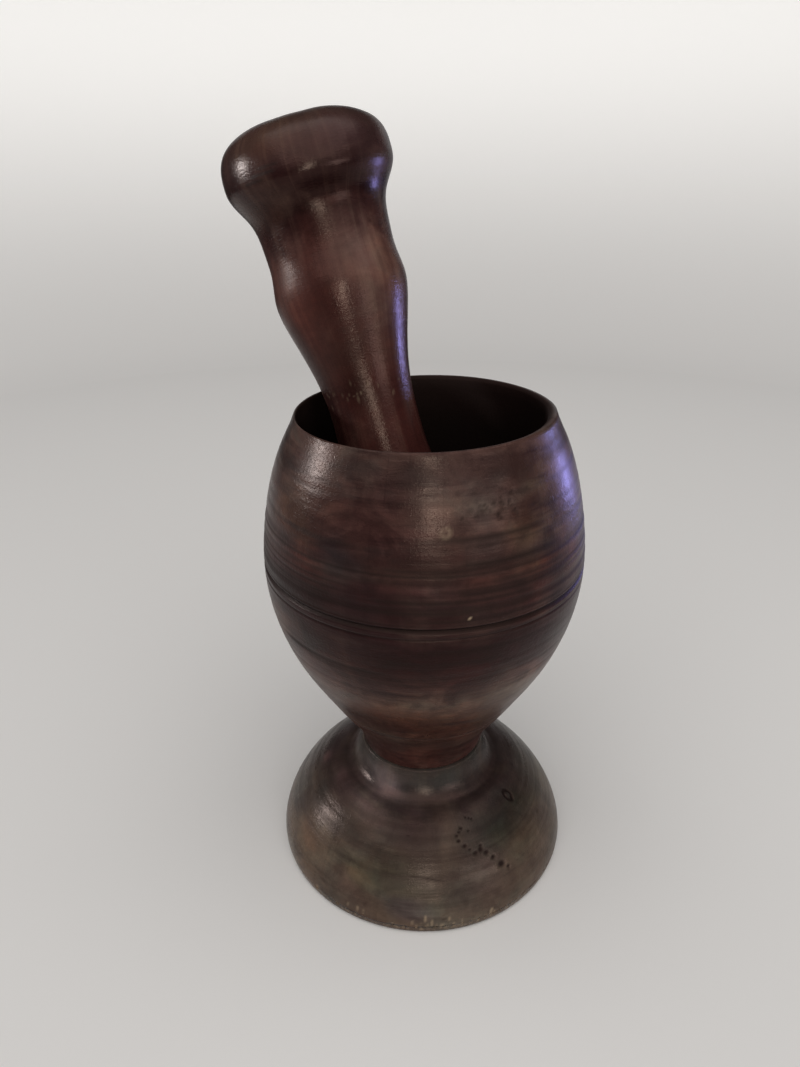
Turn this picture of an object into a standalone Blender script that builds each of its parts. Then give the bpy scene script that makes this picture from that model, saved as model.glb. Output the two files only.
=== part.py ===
"""Turned wooden mortar on a pedestal foot, with its pestle leaning in the bowl.

The object is three pieces of wood:
  bowl    the egg-shaped mortar, with its neck and a round tenon below
  foot    the domed pedestal, with the socket that takes the tenon
  pestle  one turned piece: rounded end, stem, belly, waist and knob

Frame: metres, +Z up. The origin is the centre of the foot's underside, on the
mortar's axis. The pestle leans towards -X and +Y.
"""

import math

import bmesh
import bpy
import numpy as np
from mathutils import Matrix, Vector

MM = 0.001
GAP = 0.3 * MM  # glue line, and the clearance between pieces that touch

# Bowl
RIM_HEIGHT = 175.9 * MM
RIM_TILT = 0.016  # the rim isn't quite square to the axis: its +X side is higher
RIM_TILT_FROM = 146.0 * MM
MOUTH_RADIUS = 40.0 * MM
LIP_ROUNDING = 1.15 * MM
HOLLOW_FLOOR = 72.5 * MM
HOLLOW_SHIFT = Vector((-1.0, -0.6)) * MM  # the hollow is turned a little off the axis
GROOVE_HEIGHT = 126.5 * MM
GROOVE_WIDTH = 1.8 * MM
GROOVE_DEPTH = 0.8 * MM

# Neck and the glued joint between bowl and foot
JOINT_HEIGHT = 45.0 * MM
TENON_RADIUS = 14.0 * MM
TENON_LENGTH = 18.0 * MM
TENON_CHAMFER = 1.0 * MM

# Foot
FOOT_RADIUS = 56.4 * MM
FOOT_WIDEST_HEIGHT = 3.2 * MM
UNDERSIDE_RADIUS = 55.4 * MM
DOME_TOP_RADIUS = 30.2 * MM
DOME_TOP_HEIGHT = 33.6 * MM
DOME_FULLNESS = 1.58  # exponent of the dome's curve: 2 would be an ellipse
COVE_TOP_RADIUS = 23.6 * MM

# Pestle
PESTLE_LENGTH = 195.2 * MM
PESTLE_TIP = Vector((8.9, -14.6, 79.4)) * MM
PESTLE_LEAN = math.radians(22.6)  # from upright
PESTLE_HEADING = math.radians(133.2)  # the way it leans, from +X towards +Y
END_FULLNESS = 2.3
KNOB_FULLNESS = 2.9
KNOB_TILT = 0.2  # the knob leans less than the rest of the pestle
KNOB_TILT_FROM = 158.0 * MM
KNOB_TILT_TO = 178.6 * MM
KNOB_TILT_HEADING = math.radians(-33.0)  # the way it rises, in the pestle's own frame

# Turner's stations, radius against height above the table, in millimetres
BOWL_OUTSIDE = (
    (45.0, 23.0),
    (50.0, 24.2),
    (56.5, 26.9),
    (64.0, 31.8),
    (75.0, 38.5),
    (89.0, 46.3),
    (105.0, 52.3),
    (123.0, 55.0),
    (141.0, 53.6),
    (158.0, 49.6),
    (168.0, 45.6),
    (174.6, 42.0),
)
BOWL_INSIDE = (
    (166.0, 40.6),
    (152.0, 41.2),
    (136.0, 40.7),
    (120.0, 38.7),
    (105.0, 34.6),
    (92.0, 29.4),
    (81.0, 21.0),
)
# The same for the pestle, against distance from its tip
PESTLE_STATIONS = (
    (39.0, 19.7),
    (57.0, 18.8),
    (72.0, 17.0),
    (82.0, 15.3),
    (91.5, 14.7),
    (101.0, 14.7),
    (111.0, 15.7),
    (120.5, 17.8),
    (130.5, 20.6),
    (140.0, 22.2),
    (149.0, 21.1),
    (156.0, 21.2),
    (162.0, 21.7),
    (167.0, 23.1),
    (171.5, 25.7),
    (176.4, 27.8),
    (178.6, 28.0),
)

SEGMENTS = 64  # round the axis
CURVE_STEPS = 2  # mesh rings between two stations
CAP_STEPS = 8


def clear_scene():
    for thing in list(bpy.data.objects):
        bpy.data.objects.remove(thing, do_unlink=True)


def wood(name, colour, roughness):
    material = bpy.data.materials.new(name)
    material.use_nodes = True
    shader = material.node_tree.nodes["Principled BSDF"]
    shader.inputs["Base Color"].default_value = (*colour, 1.0)
    shader.inputs["Roughness"].default_value = roughness
    shader.inputs["Metallic"].default_value = 0.0
    return material


def smooth_curve(points, steps):
    """Points (radius, height) on the natural cubic spline through the given ones."""
    knots = np.array(points)
    gaps = np.linalg.norm(np.diff(knots, axis=0), axis=1)
    along = np.concatenate([[0.0], np.cumsum(gaps)])
    count = len(knots)
    matrix = np.eye(count)
    wanted = np.zeros_like(knots)
    for i in range(1, count - 1):
        before = gaps[i - 1]
        after = gaps[i]
        matrix[i, i - 1 : i + 2] = before, 2.0 * (before + after), after
        rise_after = (knots[i + 1] - knots[i]) / after
        rise_before = (knots[i] - knots[i - 1]) / before
        wanted[i] = 6.0 * (rise_after - rise_before)
    bend = np.linalg.solve(matrix, wanted)
    curve = []
    for i in range(count - 1):
        gap = gaps[i]
        for step in range(steps):
            t = gap * step / steps
            back = gap - t
            curve.append(
                (bend[i] * back**3 + bend[i + 1] * t**3) / (6.0 * gap)
                + (knots[i] / gap - bend[i] * gap / 6.0) * back
                + (knots[i + 1] / gap - bend[i + 1] * gap / 6.0) * t
            )
    curve.append(knots[-1])
    return [(float(radius), float(height)) for radius, height in curve]


def stations(rows):
    return [(radius * MM, height * MM) for height, radius in rows]


def arc(centre, radius, start, end, steps):
    """Points on a circle's arc in the (radius, height) plane, angles in degrees."""
    points = []
    for i in range(steps + 1):
        angle = math.radians(start + (end - start) * i / steps)
        points.append(
            (centre[0] + radius * math.cos(angle), centre[1] + radius * math.sin(angle))
        )
    return points


def quarter_oval(side, top, fullness, steps):
    """From a widest point, side, round to top, both (radius, height) corners of it."""
    points = []
    for i in range(steps + 1):
        angle = math.pi / 2 * i / steps
        out = math.cos(angle) ** (2.0 / fullness)
        up = math.sin(angle) ** (2.0 / fullness)
        points.append(
            (top[0] + (side[0] - top[0]) * out, side[1] + (top[1] - side[1]) * up)
        )
    return points


def lathe(name, outline, material, shifts=None):
    """A closed solid turned from an outline that starts and ends on the axis.

    Shifts moves each of the outline's rings off the axis.
    """
    shifts = shifts or [Vector((0.0, 0.0))] * len(outline)
    mesh = bmesh.new()
    first = mesh.verts.new((*shifts[0], outline[0][1]))
    last = mesh.verts.new((*shifts[-1], outline[-1][1]))
    rings = []
    for (radius, height), shift in zip(outline[1:-1], shifts[1:-1]):
        ring = []
        for i in range(SEGMENTS):
            angle = 2.0 * math.pi * i / SEGMENTS
            x = shift.x + radius * math.cos(angle)
            y = shift.y + radius * math.sin(angle)
            ring.append(mesh.verts.new((x, y, height)))
        rings.append(ring)
    for i in range(SEGMENTS):
        j = (i + 1) % SEGMENTS
        mesh.faces.new((first, rings[0][i], rings[0][j]))
        for low, high in zip(rings, rings[1:]):
            mesh.faces.new((low[i], high[i], high[j], low[j]))
        mesh.faces.new((last, rings[-1][j], rings[-1][i]))
    bmesh.ops.recalc_face_normals(mesh, faces=mesh.faces)
    data = bpy.data.meshes.new(name)
    mesh.to_mesh(data)
    mesh.free()
    data.shade_smooth()
    data.set_sharp_from_angle(angle=math.radians(40.0))
    data.materials.append(material)
    piece = bpy.data.objects.new(name, data)
    bpy.context.scene.collection.objects.link(piece)
    return piece


def groove(outside):
    """The bowl's outside with a V cut into it at GROOVE_HEIGHT."""
    low = GROOVE_HEIGHT - GROOVE_WIDTH / 2
    high = GROOVE_HEIGHT + GROOVE_WIDTH / 2
    heights = [height for _, height in outside]
    radii = [radius for radius, _ in outside]
    below = [point for point in outside if point[1] < low - MM]
    above = [point for point in outside if point[1] > high + MM]
    cut = [
        (float(np.interp(low, heights, radii)), low),
        (float(np.interp(GROOVE_HEIGHT, heights, radii)) - GROOVE_DEPTH, GROOVE_HEIGHT),
        (float(np.interp(high, heights, radii)), high),
    ]
    return below + cut + above


def tilt_top(piece, start, top, slope, heading):
    """Shear a piece from the height start up, so that its top rises towards heading."""
    for vertex in piece.data.vertices:
        share = (vertex.co.z - start) / (top - start)
        share = min(max(share, 0.0), 1.0)
        share = share * share * (3.0 - 2.0 * share)
        reach = vertex.co.x * math.cos(heading) + vertex.co.y * math.sin(heading)
        vertex.co.z += slope * reach * share


def make_bowl():
    tenon_end = JOINT_HEIGHT - TENON_LENGTH
    tenon = [
        (0.0, tenon_end),
        (TENON_RADIUS - TENON_CHAMFER, tenon_end),
        (TENON_RADIUS, tenon_end + TENON_CHAMFER),
        (TENON_RADIUS, JOINT_HEIGHT),
    ]
    outside = groove(smooth_curve(stations(BOWL_OUTSIDE), CURVE_STEPS))
    lip_centre = (MOUTH_RADIUS + LIP_ROUNDING, RIM_HEIGHT - LIP_ROUNDING)
    lip = arc(lip_centre, LIP_ROUNDING, 35.0, 180.0, 5)
    inside = stations(BOWL_INSIDE)
    floor = smooth_curve([lip[-1], *inside, (0.0, HOLLOW_FLOOR)], CURVE_STEPS)
    outer = tenon + outside[:-1]
    shifts = [Vector((0.0, 0.0))] * len(outer)
    shifts += [HOLLOW_SHIFT * (i / (len(lip) - 1)) for i in range(len(lip))]
    shifts += [HOLLOW_SHIFT] * (len(floor) - 1)
    material = wood("bowl_wood", (0.060, 0.036, 0.028), 0.32)
    bowl = lathe("bowl", outer + lip + floor[1:], material, shifts)
    tilt_top(bowl, RIM_TILT_FROM, RIM_HEIGHT, RIM_TILT, 0.0)


def make_foot():
    socket_radius = TENON_RADIUS + GAP
    socket_floor = JOINT_HEIGHT - TENON_LENGTH - GAP
    top = JOINT_HEIGHT - GAP
    widest = (FOOT_RADIUS, FOOT_WIDEST_HEIGHT)
    dome_top = (DOME_TOP_RADIUS, DOME_TOP_HEIGHT)
    edge = quarter_oval(widest, (UNDERSIDE_RADIUS, 0.0), 2.0, 3)
    dome = quarter_oval(widest, dome_top, DOME_FULLNESS, 12)
    cove = quarter_oval((COVE_TOP_RADIUS, top), dome_top, 2.0, 7)
    outline = [(0.0, 0.0)]
    outline += edge[::-1]
    outline += dome[1:]
    outline += cove[-2::-1]
    outline += [(socket_radius, top), (socket_radius, socket_floor), (0.0, socket_floor)]
    lathe("foot", outline, wood("foot_wood", (0.052, 0.042, 0.034), 0.38))


def make_pestle():
    body = stations(PESTLE_STATIONS)
    end = quarter_oval(body[0], (0.0, 0.0), END_FULLNESS, CAP_STEPS)
    top = quarter_oval(body[-1], (0.0, PESTLE_LENGTH), KNOB_FULLNESS, CAP_STEPS)
    outline = end[::-1] + smooth_curve(body, CURVE_STEPS)[1:-1] + top
    pestle = lathe("pestle", outline, wood("pestle_wood", (0.058, 0.028, 0.022), 0.34))
    tilt_top(pestle, KNOB_TILT_FROM, KNOB_TILT_TO, KNOB_TILT, KNOB_TILT_HEADING)
    lean = Matrix.Rotation(PESTLE_HEADING, 4, "Z") @ Matrix.Rotation(PESTLE_LEAN, 4, "Y")
    pestle.matrix_world = Matrix.Translation(PESTLE_TIP) @ lean


clear_scene()
make_bowl()
make_foot()
make_pestle()
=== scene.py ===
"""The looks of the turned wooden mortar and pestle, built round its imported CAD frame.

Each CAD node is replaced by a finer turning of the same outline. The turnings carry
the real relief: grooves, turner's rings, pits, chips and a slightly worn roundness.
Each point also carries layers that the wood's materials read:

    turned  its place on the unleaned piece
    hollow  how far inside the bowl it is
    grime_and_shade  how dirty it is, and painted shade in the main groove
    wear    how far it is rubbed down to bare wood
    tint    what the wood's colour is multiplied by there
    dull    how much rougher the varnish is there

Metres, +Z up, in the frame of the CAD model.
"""

import math
from dataclasses import dataclass

import bpy
import numpy as np
from mathutils import Matrix, Vector


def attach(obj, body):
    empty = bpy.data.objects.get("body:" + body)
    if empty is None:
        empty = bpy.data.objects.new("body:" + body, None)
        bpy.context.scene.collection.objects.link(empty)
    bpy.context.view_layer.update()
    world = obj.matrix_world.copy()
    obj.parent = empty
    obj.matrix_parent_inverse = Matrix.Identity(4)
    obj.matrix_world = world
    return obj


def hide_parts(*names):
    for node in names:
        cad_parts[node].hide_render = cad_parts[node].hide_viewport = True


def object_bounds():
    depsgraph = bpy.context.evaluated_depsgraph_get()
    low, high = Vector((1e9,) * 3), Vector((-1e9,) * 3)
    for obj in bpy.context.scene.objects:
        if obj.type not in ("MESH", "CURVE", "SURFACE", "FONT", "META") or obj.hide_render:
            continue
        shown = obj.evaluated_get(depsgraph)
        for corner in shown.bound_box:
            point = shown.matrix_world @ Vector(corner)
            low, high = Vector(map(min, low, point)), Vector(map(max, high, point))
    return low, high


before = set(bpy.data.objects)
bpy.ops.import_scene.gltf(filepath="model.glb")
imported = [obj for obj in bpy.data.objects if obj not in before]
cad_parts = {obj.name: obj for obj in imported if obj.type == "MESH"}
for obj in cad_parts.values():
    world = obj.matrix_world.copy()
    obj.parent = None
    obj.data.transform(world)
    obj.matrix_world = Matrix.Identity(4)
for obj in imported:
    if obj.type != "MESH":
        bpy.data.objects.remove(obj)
cad_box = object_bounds()

MM = 0.001

# The outlines' driving sizes, the same as the CAD model's
RIM_HEIGHT = 175.9 * MM
RIM_TILT = 0.016
RIM_TILT_FROM = 146.0 * MM
MOUTH_RADIUS = 40.0 * MM
LIP_ROUNDING = 1.15 * MM
HOLLOW_FLOOR = 72.5 * MM
HOLLOW_SHIFT = np.array([-1.0, -0.6]) * MM
JOINT_HEIGHT = 45.0 * MM
TENON_RADIUS = 14.0 * MM
TENON_LENGTH = 18.0 * MM
TENON_CHAMFER = 1.0 * MM
GAP = 0.3 * MM
SHOULDER_RADIUS = 23.0 * MM
FOOT_RADIUS = 56.4 * MM
FOOT_WIDEST_HEIGHT = 3.2 * MM
UNDERSIDE_RADIUS = 55.4 * MM
DOME_TOP_RADIUS = 30.2 * MM
DOME_TOP_HEIGHT = 33.6 * MM
DOME_FULLNESS = 1.58
COVE_TOP_RADIUS = 23.6 * MM
PESTLE_LENGTH = 195.2 * MM
PESTLE_TIP = Vector((8.9, -14.6, 79.4)) * MM
PESTLE_LEAN = math.radians(22.6)
PESTLE_HEADING = math.radians(133.2)
END_FULLNESS = 2.3
KNOB_FULLNESS = 2.9
# The knob leans less than the rest of the pestle
KNOB_TILT = 0.2
KNOB_TILT_FROM = 158.0 * MM
KNOB_TILT_TO = 178.6 * MM
KNOB_TILT_HEADING = math.radians(-33.0)

# Where marks are on the mortar: heights, and angles round it in degrees, 0 at +X
FRONT = -90.0
MAIN_GROOVE = 126.5 * MM
COMPANION_GROOVE = 123.6 * MM
NECK_LINE = 70.2 * MM
BURR_ANGLE = -83.0
BURR_HEIGHT = 155.9 * MM
SCAR_ANGLE = -31.2
SCAR_HEIGHT = 30.4 * MM
# Where the rim rubs the pestle, measured from its tip
RUBBED_HEIGHT = 106.0 * MM

# Turner's stations in millimetres: (height, radius), from the tip for the pestle
BOWL_OUTSIDE = (
    (45.0, 23.0),
    (50.0, 24.2),
    (56.5, 26.9),
    (64.0, 31.8),
    (75.0, 38.5),
    (89.0, 46.3),
    (105.0, 52.3),
    (123.0, 55.0),
    (141.0, 53.6),
    (158.0, 49.6),
    (168.0, 45.6),
    (174.6, 42.0),
)
BOWL_INSIDE = (
    (166.0, 40.6),
    (152.0, 41.2),
    (136.0, 40.7),
    (120.0, 38.7),
    (105.0, 34.6),
    (92.0, 29.4),
    (81.0, 21.0),
)
PESTLE_STATIONS = (
    (39.0, 19.7),
    (57.0, 18.8),
    (72.0, 17.0),
    (82.0, 15.3),
    (91.5, 14.7),
    (101.0, 14.7),
    (111.0, 15.7),
    (120.5, 17.8),
    (130.5, 20.6),
    (140.0, 22.2),
    (149.0, 21.1),
    (156.0, 21.2),
    (162.0, 21.7),
    (167.0, 23.1),
    (171.5, 25.7),
    (176.4, 27.8),
    (178.6, 28.0),
)


# ---------------------------------------------------------------- outlines


def smooth_curve(points, steps):
    """Points (radius, height) on the natural cubic spline through the given ones."""
    knots = np.array(points)
    gaps = np.linalg.norm(np.diff(knots, axis=0), axis=1)
    count = len(knots)
    matrix = np.eye(count)
    wanted = np.zeros_like(knots)
    for i in range(1, count - 1):
        before = gaps[i - 1]
        after = gaps[i]
        matrix[i, i - 1 : i + 2] = before, 2.0 * (before + after), after
        rise_after = (knots[i + 1] - knots[i]) / after
        rise_before = (knots[i] - knots[i - 1]) / before
        wanted[i] = 6.0 * (rise_after - rise_before)
    bend = np.linalg.solve(matrix, wanted)
    curve = []
    for i in range(count - 1):
        gap = gaps[i]
        t = gap * np.arange(steps)[:, None] / steps
        back = gap - t
        curve.append(
            (bend[i] * back**3 + bend[i + 1] * t**3) / (6.0 * gap)
            + (knots[i] / gap - bend[i] * gap / 6.0) * back
            + (knots[i + 1] / gap - bend[i + 1] * gap / 6.0) * t
        )
    return np.concatenate([*curve, knots[-1:]])


def stations(rows):
    """Turner's stations as points (radius, height) in metres."""
    return [(radius * MM, height * MM) for height, radius in rows]


def arc(centre, radius, start, end, steps):
    """Points (radius, height) on an arc between two angles in degrees, 0 pointing out."""
    angle = np.radians(np.linspace(start, end, steps + 1))
    return np.stack(
        [centre[0] + radius * np.cos(angle), centre[1] + radius * np.sin(angle)], axis=1
    )


def quarter_oval(side, top, fullness, steps):
    """Points from side to top on a superellipse: fullness 2 is an ellipse, more is squarer."""
    angle = np.linspace(0.0, math.pi / 2, steps + 1)
    out = np.abs(np.cos(angle)) ** (2.0 / fullness)
    up = np.abs(np.sin(angle)) ** (2.0 / fullness)
    radius = top[0] + (side[0] - top[0]) * out
    height = side[1] + (top[1] - side[1]) * up
    return np.stack([radius, height], axis=1)


def spread(length, spacing, close_ups, per_step=40):
    """Places from 0 to length, `spacing` apart, and closer near each close-up.

    A close-up is (place, reach, spacing there).
    """
    fine = np.linspace(0.0, length, int(length / spacing * per_step))
    density = np.full_like(fine, 1.0 / spacing)
    for place, reach, close in close_ups:
        near = np.exp(-(((fine - place) / reach) ** 4))
        density = np.maximum(density, near / close)
    steps = (density[1:] + density[:-1]) / 2 * np.diff(fine)
    total = np.concatenate([[0.0], np.cumsum(steps)])
    return np.interp(np.linspace(0.0, total[-1], round(total[-1]) + 1), total, fine)


def rings_along(outline, spacing, close_ups=()):
    """An outline's points respaced. A close-up is (height, reach, spacing there)."""
    along = np.concatenate(
        [[0.0], np.cumsum(np.linalg.norm(np.diff(outline, axis=0), axis=1))]
    )
    places = []
    for height, reach, close in close_ups:
        nearest = np.argmin(np.abs(outline[:, 1] - height))
        places.append((along[nearest], reach, close))
    at = spread(along[-1], spacing, places)
    return np.stack([np.interp(at, along, outline[:, i]) for i in (0, 1)], axis=1)


def angles_round(spacing, close_ups=()):
    """Angles in degrees for one turn, from -180. A close-up is (angle, reach, spacing)."""
    places = [(angle + 180.0, reach, close) for angle, reach, close in close_ups]
    return spread(360.0, spacing, places)[:-1] - 180.0


# ---------------------------------------------------------------- relief


def around(angle, centre):
    """Signed difference from an angle, in degrees."""
    return (angle - centre + 180.0) % 360.0 - 180.0


def window(angle, centre, half, soft):
    """1 within half of centre, falling to 0 over soft more degrees."""
    if half >= 180.0:
        return np.ones_like(angle)
    share = np.clip((half + soft - np.abs(around(angle, centre))) / soft, 0.0, 1.0)
    return share * share * (3.0 - 2.0 * share)


def wavy(rng, angle, along, turns, length, waves=18):
    """A smooth random field, periodic in angle: about 1 high, `turns` bumps round."""
    field = np.zeros(np.broadcast(angle, along).shape)
    for _ in range(waves):
        count = rng.integers(0, turns + 1)
        rate = rng.uniform(-1.0, 1.0) * 2.0 * math.pi / length
        phase = rng.uniform(0.0, 2.0 * math.pi)
        field += np.cos(count * np.radians(angle) + rate * along + phase)
    return field / math.sqrt(waves / 2.0)


class Surface:
    """A grid of points on a turned outline, with its relief and its paint layers.

    Shifts move each ring sideways. Outer is 1 on the rings that marks may be put on.
    """

    def __init__(self, outline, angles, shifts=None):
        self.radius = outline[:, 0]
        self.height = outline[:, 1]
        self.along = np.concatenate(
            [[0.0], np.cumsum(np.linalg.norm(np.diff(outline, axis=0), axis=1))]
        )
        self.angles = angles
        self.angle = angles[None, :]
        self.z = self.height[:, None]
        self.r = self.radius[:, None]
        self.s = self.along[:, None]
        self.shifts = np.zeros_like(outline) if shifts is None else shifts
        self.outer = np.ones_like(self.z)
        shape = (len(outline), len(angles))
        self.relief = np.zeros(shape)
        self.grime_and_shade = np.zeros(shape)
        self.wear = np.zeros(shape)
        self.hollow = np.zeros(shape)
        self.dull = np.zeros(shape)
        self.tint = np.ones((*shape, 3))

    def stain(self, angle, height, wide, tall, tone, edge=0.0, dull=0.0):
        """A soft patch where the wood's colour is multiplied by a tone.

        Wide is its half width in degrees, tall its half height; edge is a random
        field that makes its outline uneven, dull how much rougher the varnish gets.
        """
        distance = np.hypot(around(self.angle, angle) / wide, (self.z - height) / tall)
        share = np.exp(-np.maximum(distance * (1.0 + 0.22 * edge), 0.0) ** 3)
        share = share * self.outer
        self.dull += dull * share
        self.tint *= 1.0 + share[:, :, None] * (np.array(tone) - 1.0)

    def groove(self, height, half, depth, grime_and_shade, centre=0.0, reach=180.0, soft=25.0):
        """A V cut round the outer side, fading out `soft` degrees past its reach."""
        share = window(self.angle, centre, reach, soft)
        across = np.clip(1.0 - np.abs(self.z - height) / half, 0.0, 1.0)
        across = across * self.outer
        self.relief -= depth * across * share
        self.grime_and_shade = np.maximum(self.grime_and_shade, grime_and_shade * np.sqrt(across) * share)

    def spot(self, angle, height, radius, depth, grime_and_shade=0.0, wear=0.0, tall=1.0):
        """A dent with a dark or a bare face, `tall` times as high as it is wide."""
        distance = self.distance(angle, height, tall) / radius
        dent = np.clip(1.0 - distance**2, 0.0, 1.0) ** 0.7
        self.relief -= depth * dent
        face = np.clip(1.6 * (1.0 - distance), 0.0, 1.0)
        self.grime_and_shade = np.maximum(self.grime_and_shade, grime_and_shade * face)
        self.wear = np.maximum(self.wear, wear * face)

    def distance(self, angle, height, tall=1.0):
        """Distance over the surface from a point on its outer side."""
        off = np.where(self.outer[:, 0] > 0.5, np.abs(self.height - height), np.inf)
        ring = np.argmin(off)
        sideways = np.radians(around(self.angle, angle)) * self.r
        return np.hypot(sideways, (self.s - self.along[ring]) / tall)


def dust_rings(surface, rng, low, high, count, depth, grime_and_shade):
    """Turner's rings at random heights, each round part of the piece."""
    for _ in range(count):
        surface.groove(
            height=rng.uniform(low, high),
            half=rng.uniform(0.35, 1.0) * MM,
            depth=depth * rng.uniform(0.2, 1.0),
            grime_and_shade=grime_and_shade * rng.uniform(0.1, 1.0),
            centre=rng.uniform(-180.0, 180.0),
            reach=rng.uniform(15.0, 90.0),
            soft=rng.uniform(20.0, 60.0),
        )


def make_piece(name, surface, material):
    """The mesh of a surface, closed on the axis at both ends."""
    outline = np.stack([surface.radius, surface.height], axis=1)
    # The relief stands off along the outline's normal
    tangent = np.gradient(outline, axis=0)
    tangent /= np.maximum(np.linalg.norm(tangent, axis=1), 1e-12)[:, None]
    radius = surface.r + surface.relief * tangent[:, 1:2]
    height = surface.z - surface.relief * tangent[:, 0:1]
    turn = np.radians(surface.angle)
    grid = np.stack([radius * np.cos(turn), radius * np.sin(turn), height], axis=2)
    grid[:, :, :2] += surface.shifts[:, None, :]
    # Quads between the rings, and a fan to one point on the axis at each end
    inner = grid[1:-1]
    count = len(surface.angles)
    rings = len(inner)
    first = np.array([*surface.shifts[0], surface.height[0]])
    last = np.array([*surface.shifts[-1], surface.height[-1]])
    points = np.concatenate([inner.reshape(-1, 3), [first, last]])
    start = np.arange(count)
    after = np.roll(start, -1)
    rows = np.arange(rings - 1)[:, None] * count
    quads = np.stack(
        [rows + start, rows + after, rows + count + after, rows + count + start], axis=2
    ).reshape(-1, 4)
    bottom = rings * count
    top = bottom + 1
    last_row = (rings - 1) * count
    fans = [(int(b), int(a), bottom) for a, b in zip(start, after)]
    fans += [(int(last_row + a), int(last_row + b), top) for a, b in zip(start, after)]
    mesh = bpy.data.meshes.new(name)
    mesh.from_pydata(points.tolist(), [], quads.tolist() + fans)
    mesh.update()
    layers = {
        "grime_and_shade": surface.grime_and_shade,
        "wear": surface.wear,
        "hollow": surface.hollow,
        "dull": surface.dull,
    }
    for layer, values in layers.items():
        flat = np.concatenate([values[1:-1].ravel(), [values[0].mean(), values[-1].mean()]])
        attribute = mesh.attributes.new(layer, "FLOAT", "POINT")
        attribute.data.foreach_set("value", flat.astype(np.float32))
    ends = surface.tint[[0, -1]].mean(axis=1)
    tint = np.concatenate([surface.tint[1:-1].reshape(-1, 3), ends])
    for layer, vectors in {"turned": points, "tint": tint}.items():
        attribute = mesh.attributes.new(layer, "FLOAT_VECTOR", "POINT")
        attribute.data.foreach_set("vector", vectors.astype(np.float32).ravel())
    mesh.shade_smooth()
    mesh.materials.append(material)
    piece = bpy.data.objects.new(name, mesh)
    bpy.context.scene.collection.objects.link(piece)
    return piece


def tilt_top(piece, start, top, slope, heading):
    """Shear a piece from the height start up, so that its top rises towards heading."""
    count = len(piece.data.vertices)
    points = np.empty(count * 3)
    piece.data.vertices.foreach_get("co", points)
    points = points.reshape(-1, 3)
    share = np.clip((points[:, 2] - start) / (top - start), 0.0, 1.0)
    share = share * share * (3.0 - 2.0 * share)
    reach = points[:, 0] * math.cos(heading) + points[:, 1] * math.sin(heading)
    points[:, 2] += slope * reach * share
    piece.data.vertices.foreach_set("co", points.ravel())
    piece.data.update()


# ---------------------------------------------------------------- the bowl


def bowl_outline():
    """The outline from the tenon's end up, over the lip and down inside.

    Also each point's share inside: 0 on the outside, 1 in the hollow, rising over the lip.
    """
    tenon_end = JOINT_HEIGHT - TENON_LENGTH
    fillet = 0.3 * MM
    rounding = 0.8 * MM
    tenon = np.array(
        [
            (0.0, tenon_end),
            (TENON_RADIUS - TENON_CHAMFER, tenon_end),
            (TENON_RADIUS, tenon_end + TENON_CHAMFER),
            (TENON_RADIUS, JOINT_HEIGHT - fillet),
            (TENON_RADIUS + fillet, JOINT_HEIGHT),
            (22.0 * MM, JOINT_HEIGHT),
        ]
    )
    shoulder_centre = (SHOULDER_RADIUS - rounding, JOINT_HEIGHT + rounding)
    shoulder = arc(shoulder_centre, rounding, -90.0, -15.0, 5)
    close_ups = [
        (NECK_LINE, 1.6 * MM, 0.22 * MM),
        (MAIN_GROOVE, 2.2 * MM, 0.2 * MM),
        (COMPANION_GROOVE, 1.0 * MM, 0.25 * MM),
        (135.5 * MM, 4.5 * MM, 0.42 * MM),
    ]
    steps = 60
    outside = smooth_curve(stations(BOWL_OUTSIDE), steps)[:-steps]
    outside = outside[outside[:, 1] > 46.2 * MM]
    outside = rings_along(outside, 0.74 * MM, close_ups)
    lip_centre = (MOUTH_RADIUS + LIP_ROUNDING, RIM_HEIGHT - LIP_ROUNDING)
    lip = arc(lip_centre, LIP_ROUNDING, 35.0, 180.0, 9)
    # The last of the outside bends smoothly into the lip
    to_lip = [outside[-12], outside[-1], (43.75 * MM, 171.6 * MM), lip[0]]
    approach = smooth_curve(to_lip, 5)[6:-1]
    inside = smooth_curve([lip[-1], *stations(BOWL_INSIDE), (0.0, HOLLOW_FLOOR)], 40)
    inside = rings_along(inside, 3.2 * MM)[1:]
    outer = np.concatenate([tenon, shoulder, outside, approach])
    outline = np.concatenate([outer, lip, inside])
    share = np.concatenate(
        [np.zeros(len(outer)), np.linspace(0.0, 1.0, len(lip)), np.ones(len(inside))]
    )
    return outline, share


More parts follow.
